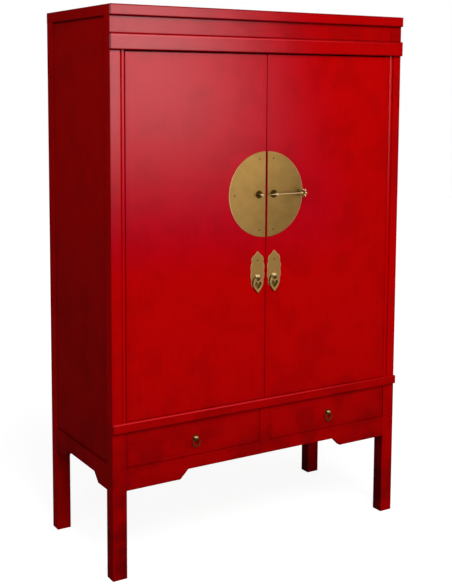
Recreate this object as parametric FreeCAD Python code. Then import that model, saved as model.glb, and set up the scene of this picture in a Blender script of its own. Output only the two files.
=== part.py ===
import FreeCAD, Part
import math
import os

# Two-door wedding cabinet on legs, in millimetres.
# +Z is up, the front faces -Y and +X runs to the right seen from the front.
# The origin is on the floor, below the middle of the whole box.

# Overall sizes
cabinet_width = 1200.0
cabinet_height = 1900.0
carcass_depth = 520.0

# Heights of the front, from the floor up
leg_clearance = 303.0
apron_height = 77.0
drawer_row_height = 126.0
waist_height = 31.0
frieze_height = 56.0
upper_moulding_height = 52.0
cornice_height = 35.0

# Posts, one at each corner
post_width = 52.0
post_depth = 45.0
post_edge_radius = 1.5
post_face_width = 34.5
bead_groove = 5.5
bead_groove_depth = 4.5
bead_radius = 4.0
bead_setback = 0.5
bead_recess = 1.0
rabbet_depth = 7.0

# Rails and mouldings
moulding_reach = 10.0
moulding_radius = 2.5
frieze_thickness = 24.0
tenon_length = 20.0
tenon_inset = 8.0
head_tenon_inset = 16.0

# Aprons under the drawers and the side panels
apron_thickness = 20.0
apron_radius = 1.5
side_apron_height = 87.0
arch_rise = 31.0
arch_slope = 31.0
front_apron_foot = 205.0
side_apron_foot = 70.0

# Panels held in grooves
panel_thickness = 8.0
field_height = 9.0
field_radius = 2.0
panel_margin = 4.0
tongue_length = 8.0
side_panel_recess = 3.0
top_panel_recess = 4.0
back_panel_recess = 6.0

# Inside the cupboard
floor_thickness = 18.0
shelf_thickness = 18.0
shelf_clearance = 1.0
door_rest_gap = 0.5
cleat_size = 20.0
lower_shelf_rise = 390.0
upper_shelf_rise = 800.0

# Doors and their pivot pins
door_thickness = 20.0
door_setback = 1.0
door_side_gap = 1.5
door_top_gap = 4.0
door_bottom_gap = 1.0
door_meeting_gap = 2.0
door_edge_radius = 2.0
pivot_radius = 4.0
pivot_inset = 11.5
pivot_setback = 6.5
pivot_grip = 25.0
pivot_seat = 12.0
running_clearance = 0.05
end_clearance = 0.2

# Drawers, divider and runners
divider_width = 40.0
drawer_gap = 1.0
drawer_setback = 0.5
drawer_front_thickness = 18.0
drawer_wall = 12.0
drawer_box_inset = 1.0
drawer_box_rise = 5.0
drawer_box_height = 90.0
drawer_bottom_thickness = 6.0
drawer_bottom_rise = 8.0
drawer_groove = 6.0
drawer_rear_clearance = 20.0
slide_clearance = 0.3
runner_height = 15.0
runner_bearing = 14.0
guide_height = 13.0
guide_clearance = 1.5

# Brass face plate in two half discs, with its nails
disc_radius = 150.0
disc_thickness = 1.5
disc_gap = 9.0
disc_rise = 730.5
nail_circle_radius = 127.0
nail_spread_angle = 79.0
nail_head_radius = 2.6
nail_head_height = 1.2
nail_shank_radius = 1.0
nail_shank_length = 10.0

# Eye posts and the sliding lock pin
eye_spacing = 62.0
eye_flange_radius = 10.0
eye_flange_thickness = 2.5
eye_neck_radius = 4.5
eye_ball_radius = 7.0
eye_shank_radius = 2.0
eye_shank_length = 12.0
pin_standoff = 22.0
pin_radius = 2.8
pin_tip_radius = 1.0
pin_taper_length = 20.0
pin_rod_length = 139.0
pin_clearance = 0.6
pin_tip_clearance = 2.5
collar_radius = 6.0
collar_length = 4.0
flower_radius = 16.5
flower_thickness = 8.0
flower_petals = 6
petal_radius = 6.5
flower_heart_radius = 5.0
flower_heart_rise = 2.0

# Door pulls: plate, domed boss and swinging heart pendant
pull_offset = 35.0
pull_drop = 270.5
pull_plate_width = 57.5
pull_plate_height = 144.0
pull_plate_thickness = 1.5
pull_nail_rise = 39.0
pull_boss_drop = 17.5
pull_boss_radius = 11.0
pull_boss_height = 10.0
hinge_drop = 7.0
hinge_standoff = 4.6
trunnion_radius = 1.5
trunnion_clearance = 0.08
pendant_width = 43.0
pendant_length = 51.0
pendant_thickness = 3.0
pendant_arm_offset = 12.2
pendant_arm_radius = 2.8
pendant_cleft = 8.5
heart_width = 26.0
heart_top = 11.5
heart_height = 28.0
heart_dart = 8.5

# Drawer pulls: domed boss and hanging ring
ring_boss_drop = 2.5
ring_boss_radius = 9.5
ring_boss_height = 9.0
ring_boss_flange = 11.5
ring_boss_flange_thickness = 1.5
ring_radius = 12.9
ring_wire_radius = 2.0
ring_hole_radius = 2.5
ring_hole_land = 2.0
ring_hole_flare = 7.3
ring_hinge_drop = 3.0
ring_standoff = 5.2
boss_shank_radius = 2.5
boss_shank_length = 12.0

# How far every cut runs past the solid that it cuts
overrun = 5.0

# Two places closer than this are the same place
same_place = 0.01

# Points of outlines as shares of a half width and a half height
plate_corner_shares = [(0.0, 1.0), (0.74, 0.72), (0.84, 0.44), (0.92, 0.0)]
plate_bulge_shares = [(0.33, 0.86), (0.87, 0.60), (1.0, 0.22)]
pendant_side_shares = [(0.86, 0.18), (1.0, 0.36), (0.66, 0.68)]
heart_side_shares = [(0.5, 0.0), (1.0, 0.2), (0.86, 0.5)]
heart_dart_shares = (0.17, 0.34)
cleft_side_shares = (0.86, 0.5)
tenon_share = 0.34
head_tenon_share = 0.25
divider_tenon_share = 0.3

# Places that follow from the sizes
half_width = cabinet_width / 2
opening_half_width = half_width - post_width
hardware_reach = pin_standoff + flower_radius - door_setback
front_y = (hardware_reach - carcass_depth) / 2
back_y = front_y + carcass_depth
front_post_rear = front_y + post_depth
back_post_front = back_y - post_depth
apron_top = leg_clearance + apron_height
waist_bottom = apron_top + drawer_row_height
waist_top = waist_bottom + waist_height
cornice_bottom = cabinet_height - cornice_height
moulding_top = cornice_bottom - frieze_height
moulding_bottom = moulding_top - upper_moulding_height
side_apron_top = leg_clearance + side_apron_height
plate_outer = half_width - side_panel_recess - field_height
plate_inner = plate_outer - panel_thickness
back_panel_rear = back_y - back_panel_recess
back_panel_front = back_panel_rear - panel_thickness

door_face = front_y + door_setback
door_rear = door_face + door_thickness
door_bottom = waist_top + door_bottom_gap
door_top = moulding_bottom - door_top_gap
door_outer = opening_half_width - door_side_gap
door_inner = door_meeting_gap / 2
pivot_x = door_outer - pivot_inset
pivot_y = door_face + pivot_setback

drawer_face = front_y + drawer_setback
drawer_outer = opening_half_width - door_side_gap
drawer_inner = divider_width / 2 + drawer_gap
drawer_bottom = apron_top + drawer_gap
drawer_top = waist_bottom - drawer_gap
box_bottom = drawer_bottom + drawer_box_rise
box_front = drawer_face + drawer_front_thickness
box_rear = back_post_front - drawer_rear_clearance
box_outer = drawer_outer - drawer_box_inset
box_inner = drawer_inner + drawer_box_inset
runner_top = box_bottom - slide_clearance
runner_bottom = runner_top - runner_height
runner_front = front_y + apron_thickness
runner_rear = back_y - apron_thickness

disc_centre = door_bottom + disc_rise
disc_face = door_face - disc_thickness
eye_x = eye_spacing / 2
pin_y = door_face - pin_standoff
pin_tip_x = door_inner + pin_tip_clearance
pull_centre = disc_centre - pull_drop
pull_face = door_face - pull_plate_thickness
pull_boss_centre = pull_centre - pull_boss_drop
hinge_y = pull_face - hinge_standoff
hinge_z = pull_boss_centre - hinge_drop
drawer_middle = (drawer_outer + drawer_inner) / 2
ring_boss_centre = (drawer_top + drawer_bottom) / 2 - ring_boss_drop
ring_y = drawer_face - ring_boss_flange_thickness - ring_standoff
ring_hinge_z = ring_boss_centre - ring_hinge_drop

along_x = FreeCAD.Vector(1, 0, 0)
along_y = FreeCAD.Vector(0, 1, 0)
along_z = FreeCAD.Vector(0, 0, 1)


def vector(x, y, z):
    return FreeCAD.Vector(x, y, z)


def block(x_span, y_span, z_span):
    """A box between three pairs of faces."""
    low = vector(min(x_span), min(y_span), min(z_span))
    high = vector(max(x_span), max(y_span), max(z_span))
    size = high - low
    return Part.makeBox(size.x, size.y, size.z, low)


def cylinder(radius, start, end):
    """A round bar from one point to another."""
    return Part.makeCylinder(radius, (end - start).Length, start, end - start)


def mirrored(shape):
    """The same piece on the other side of the cabinet."""
    return shape.mirror(vector(0, 0, 0), along_x)


def side_pair(shape):
    """A piece and its mirror image as one group of separate solids."""
    return Part.makeCompound([shape, mirrored(shape)])


def rounded(shape, radius, chosen):
    """Rounds the straight edges that chosen() accepts, given their direction and middle."""
    edges = []
    for edge in shape.Edges:
        if isinstance(edge.Curve, Part.Line):
            ends = [vertex.Point for vertex in edge.Vertexes]
            direction = (ends[1] - ends[0]).normalize()
            if chosen(direction, (ends[0] + ends[1]) / 2):
                edges.append(edge)
    return shape.makeFillet(radius, edges)


def near(value, target):
    """True where two places are the same."""
    return abs(value - target) < same_place


def upright(direction):
    """True for an edge that runs up and down."""
    return abs(direction.z) > abs(direction.x) + abs(direction.y)


def lengthwise(direction):
    """True for an edge that runs from left to right."""
    return abs(direction.x) > abs(direction.y) + abs(direction.z)


def cut_for(shape, fitted):
    """Cuts the housings, grooves and holes that the fitted pieces need."""
    for piece in fitted:
        shape = shape.cut(piece)
    return shape


def prism(points, direction):
    """A flat outline of straight lines, drawn out along a direction."""
    outline = Part.makePolygon(points + [points[0]])
    return Part.Face(outline).extrude(direction)


# Posts
def post_blank(front):
    """A left post with its head tenon; the front ones have a rabbet beside the doors."""
    y_span = (front_y, front_post_rear) if front else (back_post_front, back_y)
    post = block((-half_width, -opening_half_width), y_span, (0, cornice_bottom))
    outer_y = front_y if front else back_y
    post = rounded(post, post_edge_radius, lambda direction, middle: upright(direction)
                   and near(middle.x, -half_width) and near(middle.y, outer_y))
    tenon = block((head_tenon_inset - half_width, -opening_half_width - head_tenon_inset),
                  (min(y_span) + head_tenon_inset, max(y_span) - head_tenon_inset),
                  (cornice_bottom, cornice_bottom + cornice_height * head_tenon_share))
    post = post.fuse(tenon).removeSplitter()
    if front:
        rabbet = block((post_face_width - half_width, overrun - opening_half_width),
                       (front_y - overrun, front_y + rabbet_depth), (waist_top, moulding_bottom))
        post = post.cut(rabbet)
    return post


def front_left_post():
    return cut_for(post_blank(True), [frieze_rail(), waist_rail(), front_apron(),
                                      left_apron(), left_side_panel()])


def back_left_post():
    return cut_for(post_blank(False), [back_waist_rail(), back_apron(), back_panel(),
                                       left_apron(), left_side_panel()])


def left_bead_strip():
    """Bead in the rabbet between the front post and the door, with a groove on its outer side."""
    inner = bead_setback + opening_half_width
    outer = half_width - post_face_width
    face = front_y + bead_recess
    height = (waist_top, moulding_bottom)
    strip = block((bead_groove - outer, -inner), (face, front_y + rabbet_depth), height)
    strip = rounded(strip, bead_radius, lambda direction, middle: upright(direction)
                    and near(middle.y, face))
    foot = block((-outer, bead_groove - outer), (face + bead_groove_depth, front_y + rabbet_depth), height)
    return strip.fuse(foot).removeSplitter()


# Top frame
def cornice():
    """Moulded front member of the top frame, as wide as the cabinet."""
    face = front_y - moulding_reach
    member = block((-half_width, half_width), (face, front_post_rear), (cornice_bottom, cabinet_height))
    member = rounded(member, moulding_radius, lambda direction, middle: lengthwise(direction)
                     and near(middle.y, face))
    return cut_for(member, [side_pair(post_blank(True)), side_pair(top_left_rail()),
                            side_pair(left_side_panel()), top_panel()])


def top_back_rail():
    member = block((-half_width, half_width), (back_post_front, back_y), (cornice_bottom, cabinet_height))
    return cut_for(member, [side_pair(post_blank(False)), side_pair(top_left_rail()),
                            side_pair(left_side_panel()), top_panel(), back_panel()])


def top_left_rail():
    """Side member of the top frame, tenoned into the cornice and the back member."""
    member = block((-half_width, -opening_half_width), (front_post_rear, back_post_front),
                   (cornice_bottom, cabinet_height))
    tenon = block((head_tenon_inset - half_width, -opening_half_width - head_tenon_inset),
                  (front_post_rear - tenon_length, back_post_front + tenon_length),
                  (cornice_bottom + cornice_height * tenon_share,
                   cabinet_height - cornice_height * tenon_share))
    return member.fuse(tenon).cut(top_panel()).cut(left_side_panel()).removeSplitter()


def top_panel():
    """Floating panel in the grooves of the top frame."""
    field_top = cabinet_height - top_panel_recess
    plate_top = field_top - field_height
    plate = block((-opening_half_width - tongue_length, opening_half_width + tongue_length),
                  (front_post_rear - tongue_length, back_post_front + tongue_length),
                  (plate_top - panel_thickness, plate_top))
    inner_x = opening_half_width - panel_margin
    field = block((-inner_x, inner_x), (front_post_rear + panel_margin, back_post_front - panel_margin),
                  (plate_top, field_top))
    field = rounded(field, field_radius, lambda direction, middle: near(middle.z, field_top))
    return plate.fuse(field)


# Front rails and mouldings
def cross_rail(y_span, z_span):
    """A rail between two posts, with a tenon at each end."""
    rail = block((-opening_half_width, opening_half_width), y_span, z_span)
    thickness = y_span[1] - y_span[0]
    middle = (y_span[0] + y_span[1]) / 2
    tenon_half = thickness * tenon_share / 2
    reach = opening_half_width + tenon_length
    tenon = block((-reach, reach), (middle - tenon_half, middle + tenon_half),
                  (z_span[0] + tenon_inset, z_span[1] - tenon_inset))
    return rail.fuse(tenon).removeSplitter()


def frieze_rail():
    """Wide rail over the doors, with a hole for each upper pivot pin."""
    rail = cross_rail((front_y, front_y + frieze_thickness), (moulding_bottom, cornice_bottom))
    return rail.cut(pivot_hole(moulding_bottom - overrun, moulding_bottom + pivot_seat + end_clearance))


def waist_rail():
    """Rail under the doors: it carries their lower pivots and the edge of the floor board."""
    rail = cross_rail((front_y, front_post_rear), (waist_bottom, waist_top))
    rail = rail.cut(pivot_hole(waist_top - pivot_seat - end_clearance, waist_top + overrun))
    return rail.cut(floor_board()).cut(drawer_divider())


def pivot_hole(bottom, top):
    return side_pair(cylinder(pivot_radius + running_clearance, vector(-pivot_x, pivot_y, bottom),
                              vector(-pivot_x, pivot_y, top)))


def planted_moulding(bottom, top):
    """Round-edged strip planted across the front, as wide as the cabinet."""
    face = front_y - moulding_reach
    strip = block((-half_width, half_width), (face, front_y), (bottom, top))
    return rounded(strip, moulding_radius, lambda direction, middle: lengthwise(direction)
                   and near(middle.y, face))


def upper_moulding():
    return planted_moulding(moulding_bottom, moulding_top)


def waist_moulding():
    return planted_moulding(waist_bottom, waist_top)


def back_waist_rail():
    rail = cross_rail((back_post_front, back_panel_front), (waist_bottom, waist_top))
    return rail.cut(floor_board())


# Aprons
def arch_points(half_length, foot, top, place):
    """Outline of an apron whose lower edge steps up between its two feet."""
    crown = leg_clearance + arch_rise
    inner = half_length - foot
    low = leg_clearance
    corners = [(-half_length, top), (-half_length, low), (-inner, low), (arch_slope - inner, crown),
               (inner - arch_slope, crown), (inner, low), (half_length, low), (half_length, top)]
    return [place(along, height) for along, height in corners]


def cross_apron(face, top):
    """Apron across the front or the back, with its tenons."""
    points = arch_points(opening_half_width, front_apron_foot, top,
                         lambda along, height: vector(along, face, height))
    apron = prism(points, along_y * apron_thickness)
    reach = opening_half_width + tenon_length
    inset = apron_thickness * tenon_share
    for side in (-1, 1):
        tenon = block((side * opening_half_width, side * reach),
                      (face + inset, face + apron_thickness - inset),
                      (leg_clearance + tenon_inset, top - tenon_inset))
        apron = apron.fuse(tenon)
    return apron.removeSplitter()


def front_apron():
    apron = cross_apron(front_y, apron_top)
    apron = rounded(apron, apron_radius, lambda direction, middle: near(middle.y, front_y)
                    and middle.z < leg_clearance + arch_rise + same_place
                    and abs(middle.x) < opening_half_width - same_place)
    return apron.cut(drawer_divider())


def back_apron():
    return cross_apron(back_y - apron_thickness, side_apron_top).cut(back_panel())


def left_apron():
    """Side apron under the panel, tenoned into both left posts."""
    middle_y = (front_post_rear + back_post_front) / 2
    half_length = (back_post_front - front_post_rear) / 2
    points = arch_points(half_length, side_apron_foot, side_apron_top,
                         lambda along, height: vector(-half_width, middle_y + along, height))
    apron = prism(points, along_x * apron_thickness)
    apron = rounded(apron, apron_radius, lambda direction, middle: near(middle.x, -half_width)
                    and middle.z < leg_clearance + arch_rise + same_place
                    and abs(middle.y - middle_y) < half_length - same_place)
    inset = apron_thickness * tenon_share
    for inner, outer in ((front_post_rear, front_post_rear - tenon_length),
                         (back_post_front, back_post_front + tenon_length)):
        tenon = block((inset - half_width, apron_thickness - inset - half_width), (inner, outer),
                      (leg_clearance + tenon_inset, side_apron_top - tenon_inset - tongue_length))
        apron = apron.fuse(tenon)
    return apron.cut(left_side_panel()).removeSplitter()


# Side and back panels
def left_side_panel():
    """Panel in the grooves of the posts, with a shadow gap round its raised field."""
    plate = block((-plate_outer, -plate_inner),
                  (front_post_rear - tongue_length, back_post_front + tongue_length),
                  (side_apron_top - tongue_length, cornice_bottom + tongue_length))
    face = side_panel_recess - half_width
    field = block((face, -plate_outer),
                  (front_post_rear + panel_margin, back_post_front - panel_margin),
                  (side_apron_top + panel_margin, cornice_bottom - panel_margin))
    field = rounded(field, field_radius, lambda direction, middle: near(middle.x, face))
    return plate.fuse(field)


def back_panel():
    reach = opening_half_width + tongue_length
    return block((-reach, reach), (back_panel_front, back_panel_rear),
                 (side_apron_top - tongue_length, cornice_bottom + tongue_length))


# Inside the cupboard
def floor_board():
    """Floor of the cupboard, tongued into the front and back rails."""
    board = block((-plate_inner, plate_inner), (front_post_rear, back_post_front),
                  (waist_top - floor_thickness, waist_top))
    tongue_inset = floor_thickness * tenon_share
    tongue = block((-opening_half_width, opening_half_width),
                   (front_post_rear - tongue_length, back_post_front + tongue_length),
                   (waist_top - floor_thickness + tongue_inset, waist_top - tongue_inset))
    return board.fuse(tongue).removeSplitter()


def shelf(rise):
    """Loose shelf, notched round the posts; the doors close against its front edge."""
    bottom = waist_top + rise
    z_span = (bottom, bottom + shelf_thickness)
    half_length = plate_inner - shelf_clearance
    board = block((-half_length, half_length),
                  (door_rear + door_rest_gap, back_panel_front - shelf_clearance), z_span)
    notch_x = (-opening_half_width + shelf_clearance, -half_width)
    notches = [block(notch_x, (front_y, front_post_rear + shelf_clearance), z_span),
               block(notch_x, (back_post_front - shelf_clearance, back_y), z_span)]
    return cut_for(board, [side_pair(notch) for notch in notches])


def shelf_cleats():
    """Two battens on each side panel, one under each shelf."""
    battens = []
    for rise in (lower_shelf_rise, upper_shelf_rise):
        top = waist_top + rise
        left = block((-plate_inner, cleat_size - plate_inner), (front_post_rear, back_post_front),
                     (top - cleat_size, top))
        battens += [left, mirrored(left)]
    return Part.makeCompound(battens)


# Doors
def left_door():
    """Slab door; its outer rear edge is rounded so that it clears the inside as it turns."""
    slab = block((-door_outer, -door_inner), (door_face, door_rear), (door_bottom, door_top))
    slab = rounded(slab, pivot_inset, lambda direction, middle: upright(direction)
                   and near(middle.x, -door_outer) and near(middle.y, door_rear))
    slab = rounded(slab, door_edge_radius, lambda direction, middle: near(middle.y, door_face))
    return cut_for(slab, [left_door_pivots(), left_door_nails(), left_eye_post(), left_pull_boss()])


def left_door_pivots():
    """Steel pins fixed in the top and bottom edges of the door, turning in the rails."""
    spans = ((waist_top - pivot_seat, door_bottom + pivot_grip),
             (door_top - pivot_grip, moulding_bottom + pivot_seat))
    pins = [cylinder(pivot_radius, vector(-pivot_x, pivot_y, bottom), vector(-pivot_x, pivot_y, top))
            for bottom, top in spans]
    return Part.makeCompound(pins)


# Brass face plate
def left_half_disc():
    """Half of the round face plate, with holes for its nails and the eye post."""
    centre = vector(-disc_gap / 2, disc_face, disc_centre)
    top = centre + along_z * disc_radius
    bottom = centre - along_z * disc_radius
    rim = Part.Arc(bottom, centre - along_x * disc_radius, top).toShape()
    outline = Part.Wire([rim, Part.LineSegment(top, bottom).toShape()])
    plate = Part.Face(outline).extrude(along_y * disc_thickness)
    return cut_for(plate, [left_door_nails(), left_eye_post()])


def domed_cap(foot, radius, height):
    """Round cap with a spherical top, standing out along -Y."""
    sphere_radius = (radius ** 2 + height ** 2) / height / 2
    shoulder_reach = radius / 2
    shoulder_rise = height - sphere_radius + math.sqrt(sphere_radius ** 2 - shoulder_reach ** 2)
    crown = foot - along_y * height
    rim = foot + along_x * radius
    shoulder = foot + along_x * shoulder_reach - along_y * shoulder_rise
    profile = Part.Wire([Part.Arc(crown, shoulder, rim).toShape(),
                         Part.LineSegment(rim, foot).toShape(),
                         Part.LineSegment(foot, crown).toShape()])
    return Part.Face(profile).revolve(foot, along_y, math.degrees(math.tau))


def nail(face, x, z):
    """Round-headed brass nail, driven in along +Y."""
    foot = vector(x, face, z)
    shank = cylinder(nail_shank_radius, foot, foot + along_y * nail_shank_length)
    return domed_cap(foot, nail_head_radius, nail_head_height).fuse(shank).removeSplitter()


def left_door_nails():
    """Three nails round the half disc and one in the pull plate."""
    nails = []
    for degrees in (-nail_spread_angle, 0, nail_spread_angle):
        angle = math.radians(degrees)
        nails.append(nail(disc_face, -disc_gap / 2 - nail_circle_radius * math.cos(angle),
                          disc_centre + nail_circle_radius * math.sin(angle)))
    nails.append(nail(pull_face, -pull_offset, pull_centre + pull_nail_rise))
    return Part.makeCompound(nails)


def left_eye_post():
    """Brass post with a flanged foot and a ball end; the lock pin passes through the ball."""
    base = vector(-eye_x, disc_face, disc_centre)
    ball_centre = vector(-eye_x, pin_y, disc_centre)
    foot = Part.makeCone(eye_flange_radius, eye_neck_radius, eye_flange_thickness, base, -along_y)
    neck = cylinder(eye_neck_radius, base, ball_centre)
    ball = Part.makeSphere(eye_ball_radius, ball_centre, along_y)
    shank = cylinder(eye_shank_radius, base, base + along_y * eye_shank_length)
    reach = along_x * (eye_ball_radius + overrun)
    hole = cylinder(pin_radius + pin_clearance, ball_centre - reach, ball_centre + reach)
    return foot.fuse(neck).fuse(ball).fuse(shank).removeSplitter().cut(hole)


def lock_pin():
    """Tapered rod with a flower head. It is drawn back here, so that the doors are free."""
    tip = vector(pin_tip_x, pin_y, disc_centre)
    taper = Part.makeCone(pin_tip_radius, pin_radius, pin_taper_length, tip, along_x)
    shoulder = tip + along_x * pin_taper_length
    rod_end = tip + along_x * pin_rod_length
    rod = cylinder(pin_radius, shoulder, rod_end)
    collar = cylinder(collar_radius, rod_end - along_x * collar_length, rod_end)
    head_end = rod_end + along_x * flower_thickness
    shape = taper.fuse(rod).fuse(collar)
    petal_distance = flower_radius - petal_radius
    for number in range(flower_petals):
        angle = math.tau * number / flower_petals
        offset = vector(0, petal_distance * math.cos(angle), petal_distance * math.sin(angle))
        shape = shape.fuse(cylinder(petal_radius, rod_end + offset, head_end + offset))
    heart = cylinder(flower_heart_radius, rod_end, head_end + along_x * flower_heart_rise)
    return shape.fuse(heart).removeSplitter()


# Door pulls
def left_pull_plate():
    """Cusped brass plate behind each door pull."""
    half_plate = pull_plate_width / 2
    half_height = pull_plate_height / 2

    def spot(share, side, end):
        return vector(-pull_offset + side * share[0] * half_plate, pull_face,
                      pull_centre + end * share[1] * half_height)

    edges = []
    for side, end in ((1, 1), (1, -1), (-1, -1), (-1, 1)):
        for start, bulge, finish in zip(plate_corner_shares, plate_bulge_shares, plate_corner_shares[1:]):
            edges.append(Part.Arc(spot(start, side, end), spot(bulge, side, end),
                                  spot(finish, side, end)).toShape())
    outline = Part.Wire(Part.__sortEdges__(edges))
    plate = Part.Face(outline).extrude(along_y * pull_plate_thickness)
    return cut_for(plate, [left_door_nails(), left_pull_boss()])


def domed_boss(foot, radius, height):
    """Domed cap on a shank that goes into the wood."""
    shank = cylinder(boss_shank_radius, foot, foot + along_y * boss_shank_length)
    return domed_cap(foot, radius, height).fuse(shank).removeSplitter()


def left_pull_boss():
    """Dome that carries the pendant's hinge pin in a cross hole."""
    boss = domed_boss(vector(-pull_offset, pull_face, pull_boss_centre), pull_boss_radius, pull_boss_height)
    reach = along_x * (pull_boss_radius + overrun)
    axis = vector(-pull_offset, hinge_y, hinge_z)
    return boss.cut(cylinder(trunnion_radius + trunnion_clearance, axis - reach, axis + reach))


def pendant_spot(along, down):
    """A point on the face of the pendant, measured from the middle of its hinge pin."""
    return vector(-pull_offset + along, hinge_y - pendant_thickness / 2, hinge_z - down)


def left_pull_pendant():
    """Heart-shaped drop: two arms on a hinge pin, with a heart-shaped opening."""
    (shoulder, widest, flank) = [(across * pendant_width / 2, down * pendant_length)
                                 for across, down in pendant_side_shares]
    arm_inner = pendant_arm_offset - pendant_arm_radius
    arm_outer = pendant_arm_offset + pendant_arm_radius
    edges = []
    for side in (1, -1):
        corners = [(0, pendant_cleft), (arm_inner, 0), (arm_outer, 0), widest, (0, pendant_length)]
        bulges = [(arm_inner * cleft_side_shares[0], pendant_cleft * cleft_side_shares[1]),
                  (pendant_arm_offset, -pendant_arm_radius), shoulder, flank]
        edges += side_arcs(side, corners, bulges)
    plate = Part.Face(Part.Wire(Part.__sortEdges__(edges))).extrude(along_y * pendant_thickness)
    axis = vector(-pull_offset, hinge_y, hinge_z)
    reach = along_x * pendant_arm_offset
    return plate.cut(heart_hole()).fuse(cylinder(trunnion_radius, axis - reach, axis + reach))


def side_arcs(side, corners, bulges):
    """Arcs from corner to corner down one side of the pendant."""
    arcs = []
    for start, bulge, finish in zip(corners, bulges, corners[1:]):
        points = [pendant_spot(side * along, down) for along, down in (start, bulge, finish)]
        arcs.append(Part.Arc(*points).toShape())
    return arcs


def heart_hole():
    """The heart-shaped opening; a dart hangs down into it from above."""
    (crest, bulge, waist) = [(across * heart_width / 2, heart_top + down * heart_height)
                             for across, down in heart_side_shares]
    dart_tip = (0, heart_top + heart_dart)
    dart_side = (heart_width * heart_dart_shares[0], heart_top + heart_dart * heart_dart_shares[1])
    edges = []
    for side in (1, -1):
        edges += side_arcs(side, [dart_tip, crest, waist], [dart_side, bulge])
        edges.append(Part.LineSegment(pendant_spot(side * waist[0], waist[1]),
                                      pendant_spot(0, heart_top + heart_height)).toShape())
    face = Part.Face(Part.Wire(Part.__sortEdges__(edges)))
    return face.extrude(along_y * pendant_thickness)


# Drawers
def drawer_divider():
    """Upright between the two drawers, tenoned into the waist rail and the apron."""
    divider = block((-divider_width / 2, divider_width / 2), (front_y, runner_front),
                    (apron_top, waist_bottom))
    inset = apron_thickness * tenon_share
    tenon_half = divider_width * divider_tenon_share
    tenon = block((-tenon_half, tenon_half), (front_y + inset, runner_front - inset),
                  (apron_top - tenon_inset, waist_bottom + tenon_inset))
    return divider.fuse(tenon).removeSplitter()


def left_drawer_runner():
    """Rebated runner on the side panel, between the posts."""
    bearing = block((-plate_inner, runner_bearing - box_outer), (front_post_rear, back_post_front),
                    (runner_bottom, runner_top))
    guide = block((-plate_inner, -box_outer - guide_clearance), (front_post_rear, back_post_front),
                  (runner_top, runner_top + guide_height))
    return bearing.fuse(guide).removeSplitter()


def centre_drawer_runner():
    """Runner that both drawers share, with a guide rib between them."""
    half_bearing = box_inner + runner_bearing
    bearing = block((-half_bearing, half_bearing), (runner_front, runner_rear), (runner_bottom, runner_top))
    half_guide = box_inner - guide_clearance
    guide = block((-half_guide, half_guide), (runner_front, back_post_front),
                  (runner_top, runner_top + guide_height))
    return bearing.fuse(guide).removeSplitter()


def left_drawer_front():
    front = block((-drawer_outer, -drawer_inner), (drawer_face, box_front), (drawer_bottom, drawer_top))
    front = rounded(front, door_edge_radius, lambda direction, middle: near(middle.y, drawer_face))
    return cut_for(front, [left_drawer_bottom(), left_ring_boss()])


def left_drawer_sides():
    """The two long walls of the drawer box."""
    walls = []
    for outer, inner in ((box_outer, box_outer - drawer_wall), (box_inner + drawer_wall, box_inner)):
        wall = block((-outer, -inner), (box_front, box_rear), (box_bottom, box_bottom + drawer_box_height))
        walls.append(wall.cut(left_drawer_bottom()))
    return Part.makeCompound(walls)


def left_drawer_back():
    wall = block((drawer_wall - box_outer, -box_inner - drawer_wall), (box_rear - drawer_wall, box_rear),
                 (box_bottom, box_bottom + drawer_box_height))
    return wall.cut(left_drawer_bottom())


def left_drawer_bottom():
    """Thin bottom board in the grooves of the front, sides and back."""
    low = box_bottom + drawer_bottom_rise
    return block((drawer_wall - drawer_groove - box_outer, drawer_groove - drawer_wall - box_inner),
                 (box_front - drawer_groove, box_rear - drawer_wall + drawer_groove),
                 (low, low + drawer_bottom_thickness))


def left_ring_boss():
    """Dome on a thin flange; the ring hangs through its cross hole, which flares to both sides."""
    foot = vector(-drawer_middle, drawer_face - ring_boss_flange_thickness, ring_boss_centre)
    dome = domed_boss(foot, ring_boss_radius, ring_boss_height)
    flange = cylinder(ring_boss_flange, foot, foot + along_y * ring_boss_flange_thickness)
    axis = vector(-drawer_middle, ring_y, ring_hinge_z)
    mouth = ring_hole_land + ring_boss_radius
    profile = [(-mouth, 0), (-mouth, ring_hole_flare), (-ring_hole_land, ring_hole_radius),
               (ring_hole_land, ring_hole_radius), (mouth, ring_hole_flare), (mouth, 0)]
    corners = [axis + along_x * along - along_z * out for along, out in profile]
    outline = Part.makePolygon(corners + corners[:1])
    passage = Part.Face(outline).revolve(axis, along_x, math.degrees(math.tau))
    return dome.fuse(flange).removeSplitter().cut(passage)


def left_drawer_ring():
    centre = vector(-drawer_middle, ring_y, ring_hinge_z - ring_radius)
    return Part.makeTorus(ring_radius, ring_wire_radius, centre, along_y)


def both_sides(left_name, make):
    """A left piece and its mirror image, under the names of both sides."""
    shape = make()
    return {left_name: shape, left_name.replace("left", "right"): mirrored(shape)}


def all_pieces():
    pieces = {"cornice": cornice(), "top_back_rail": top_back_rail(), "top_panel": top_panel(),
              "frieze_rail": frieze_rail(), "upper_moulding": upper_moulding(),
              "waist_rail": waist_rail(), "waist_moulding": waist_moulding(),
              "back_waist_rail": back_waist_rail(), "front_apron": front_apron(),
              "back_apron": back_apron(), "back_panel": back_panel(), "floor_board": floor_board(),
              "lower_shelf": shelf(lower_shelf_rise), "upper_shelf": shelf(upper_shelf_rise),
              "shelf_cleats": shelf_cleats(), "drawer_divider": drawer_divider(),
              "centre_drawer_runner": centre_drawer_runner(), "lock_pin": lock_pin()}
    for make in (front_left_post, back_left_post, left_bead_strip, top_left_rail, left_apron,
                 left_side_panel, left_door, left_door_pivots, left_half_disc, left_door_nails,
                 left_eye_post, left_pull_plate, left_pull_boss, left_pull_pendant,
                 left_drawer_runner, left_drawer_front, left_drawer_sides, left_drawer_back,
                 left_drawer_bottom, left_ring_boss, left_drawer_ring):
        pieces.update(both_sides(make.__name__, make))
    return pieces


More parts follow.
